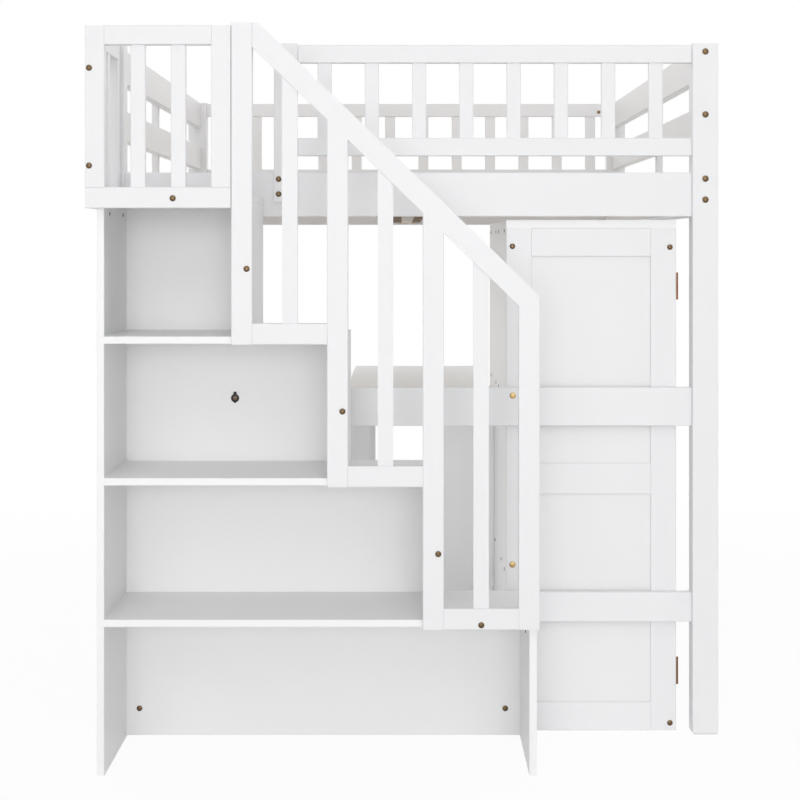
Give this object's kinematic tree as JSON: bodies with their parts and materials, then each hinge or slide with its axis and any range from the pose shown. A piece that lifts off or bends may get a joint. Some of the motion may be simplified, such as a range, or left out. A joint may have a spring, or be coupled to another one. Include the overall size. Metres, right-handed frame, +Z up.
{
  "type": "loft bed",
  "caption": "Full-size loft bed with guard rails, a storage staircase across one end with landing and handrail, a hinged-door wardrobe and a desk underneath.",
  "frame": {"origin": "on the floor, under the middle of the whole object", "axes": "+X to the right seen from the stair end, +Y from the stairs along the bed to its far end, +Z up"},
  "size_m": [1.448, 2.416, 1.62],
  "materials": {
    "white_wood": "satin white paint over solid pine, with a faint grain",
    "white_board": "smooth satin white paint over board",
    "raw_pine": "unpainted planed pine",
    "bolt_bronze": "antique bronze plating",
    "hinge_bronze": "antique bronze plating",
    "knob_bronze": "antique bronze plating",
    "bracket_brass": "yellow zinc plating, dulled",
    "rod_steel": "bright plated steel tube",
    "pull_black": "black lacquered metal"
  },
  "bodies": {
    "root": {"balusters": "white_wood", "bed_bolts": "bolt_bronze", "case_back": "white_board", "case_divider": "white_board", "case_face_rails": "white_wood", "case_far_frame": "white_wood", "case_far_panels": "white_board", "case_floor": "white_board", "case_hinge_leaves": "hinge_bronze", "case_near_frame": "white_wood", "case_near_panels": "white_board", "case_shelves": "white_board", "case_top": "white_board", "centre_board": "raw_pine", "centre_brackets": "bracket_brass", "deck_ledgers": "raw_pine", "deck_slats": "raw_pine", "desk_aprons": "white_wood", "desk_legs": "white_wood", "desk_supports": "white_board", "desk_top": "white_board", "front_deck_rail": "white_wood", "front_guard_rails": "white_wood", "front_guard_slats": "white_wood", "front_low_rail": "white_wood", "front_mid_rail": "white_wood", "guard_post": "white_wood", "handrail": "white_wood", "hanging_rod": "rod_steel", "landing_rails": "white_wood", "landing_side_guard": "white_wood", "landing_slats": "white_wood", "landing_stiles": "white_wood", "left_guard_rails": "white_wood", "newels": "white_wood", "post_front_left": "white_wood", "post_front_right": "white_wood", "post_rear_left": "white_wood", "post_rear_right": "white_wood", "rear_deck_rail": "white_wood", "rear_guard_rails": "white_wood", "rear_guard_slats": "white_wood", "right_guard_rails": "white_wood", "ring_pull": "pull_black", "rod_sockets": "rod_steel", "side_deck_rails": "white_wood", "side_guard_stiles": "white_wood", "stair_backs": "white_board", "stair_side": "white_board", "stair_treads": "white_board", "stair_uprights": "white_board", "step_rails": "white_wood"},
    "door_near": {"door_near_frame": "white_wood", "door_near_panels": "white_board", "door_near_knob": "knob_bronze", "door_near_leaves": "hinge_bronze"},
    "door_far": {"door_far_frame": "white_wood", "door_far_panels": "white_board", "door_far_knob": "knob_bronze", "door_far_leaves": "hinge_bronze"}
  },
  "joints": [
    {"name": "near_door_swing", "type": "hinge", "parent": "root", "child": "door_near", "pos_m": [0.6353, -0.7485, 0.592], "axis": [0, 0, -1], "range_deg": [0, 90]},
    {"name": "far_door_swing", "type": "hinge", "parent": "root", "child": "door_far", "pos_m": [0.6353, 0.0945, 0.592], "axis": [0, 0, 1], "range_deg": [0, 105]}
  ]
}
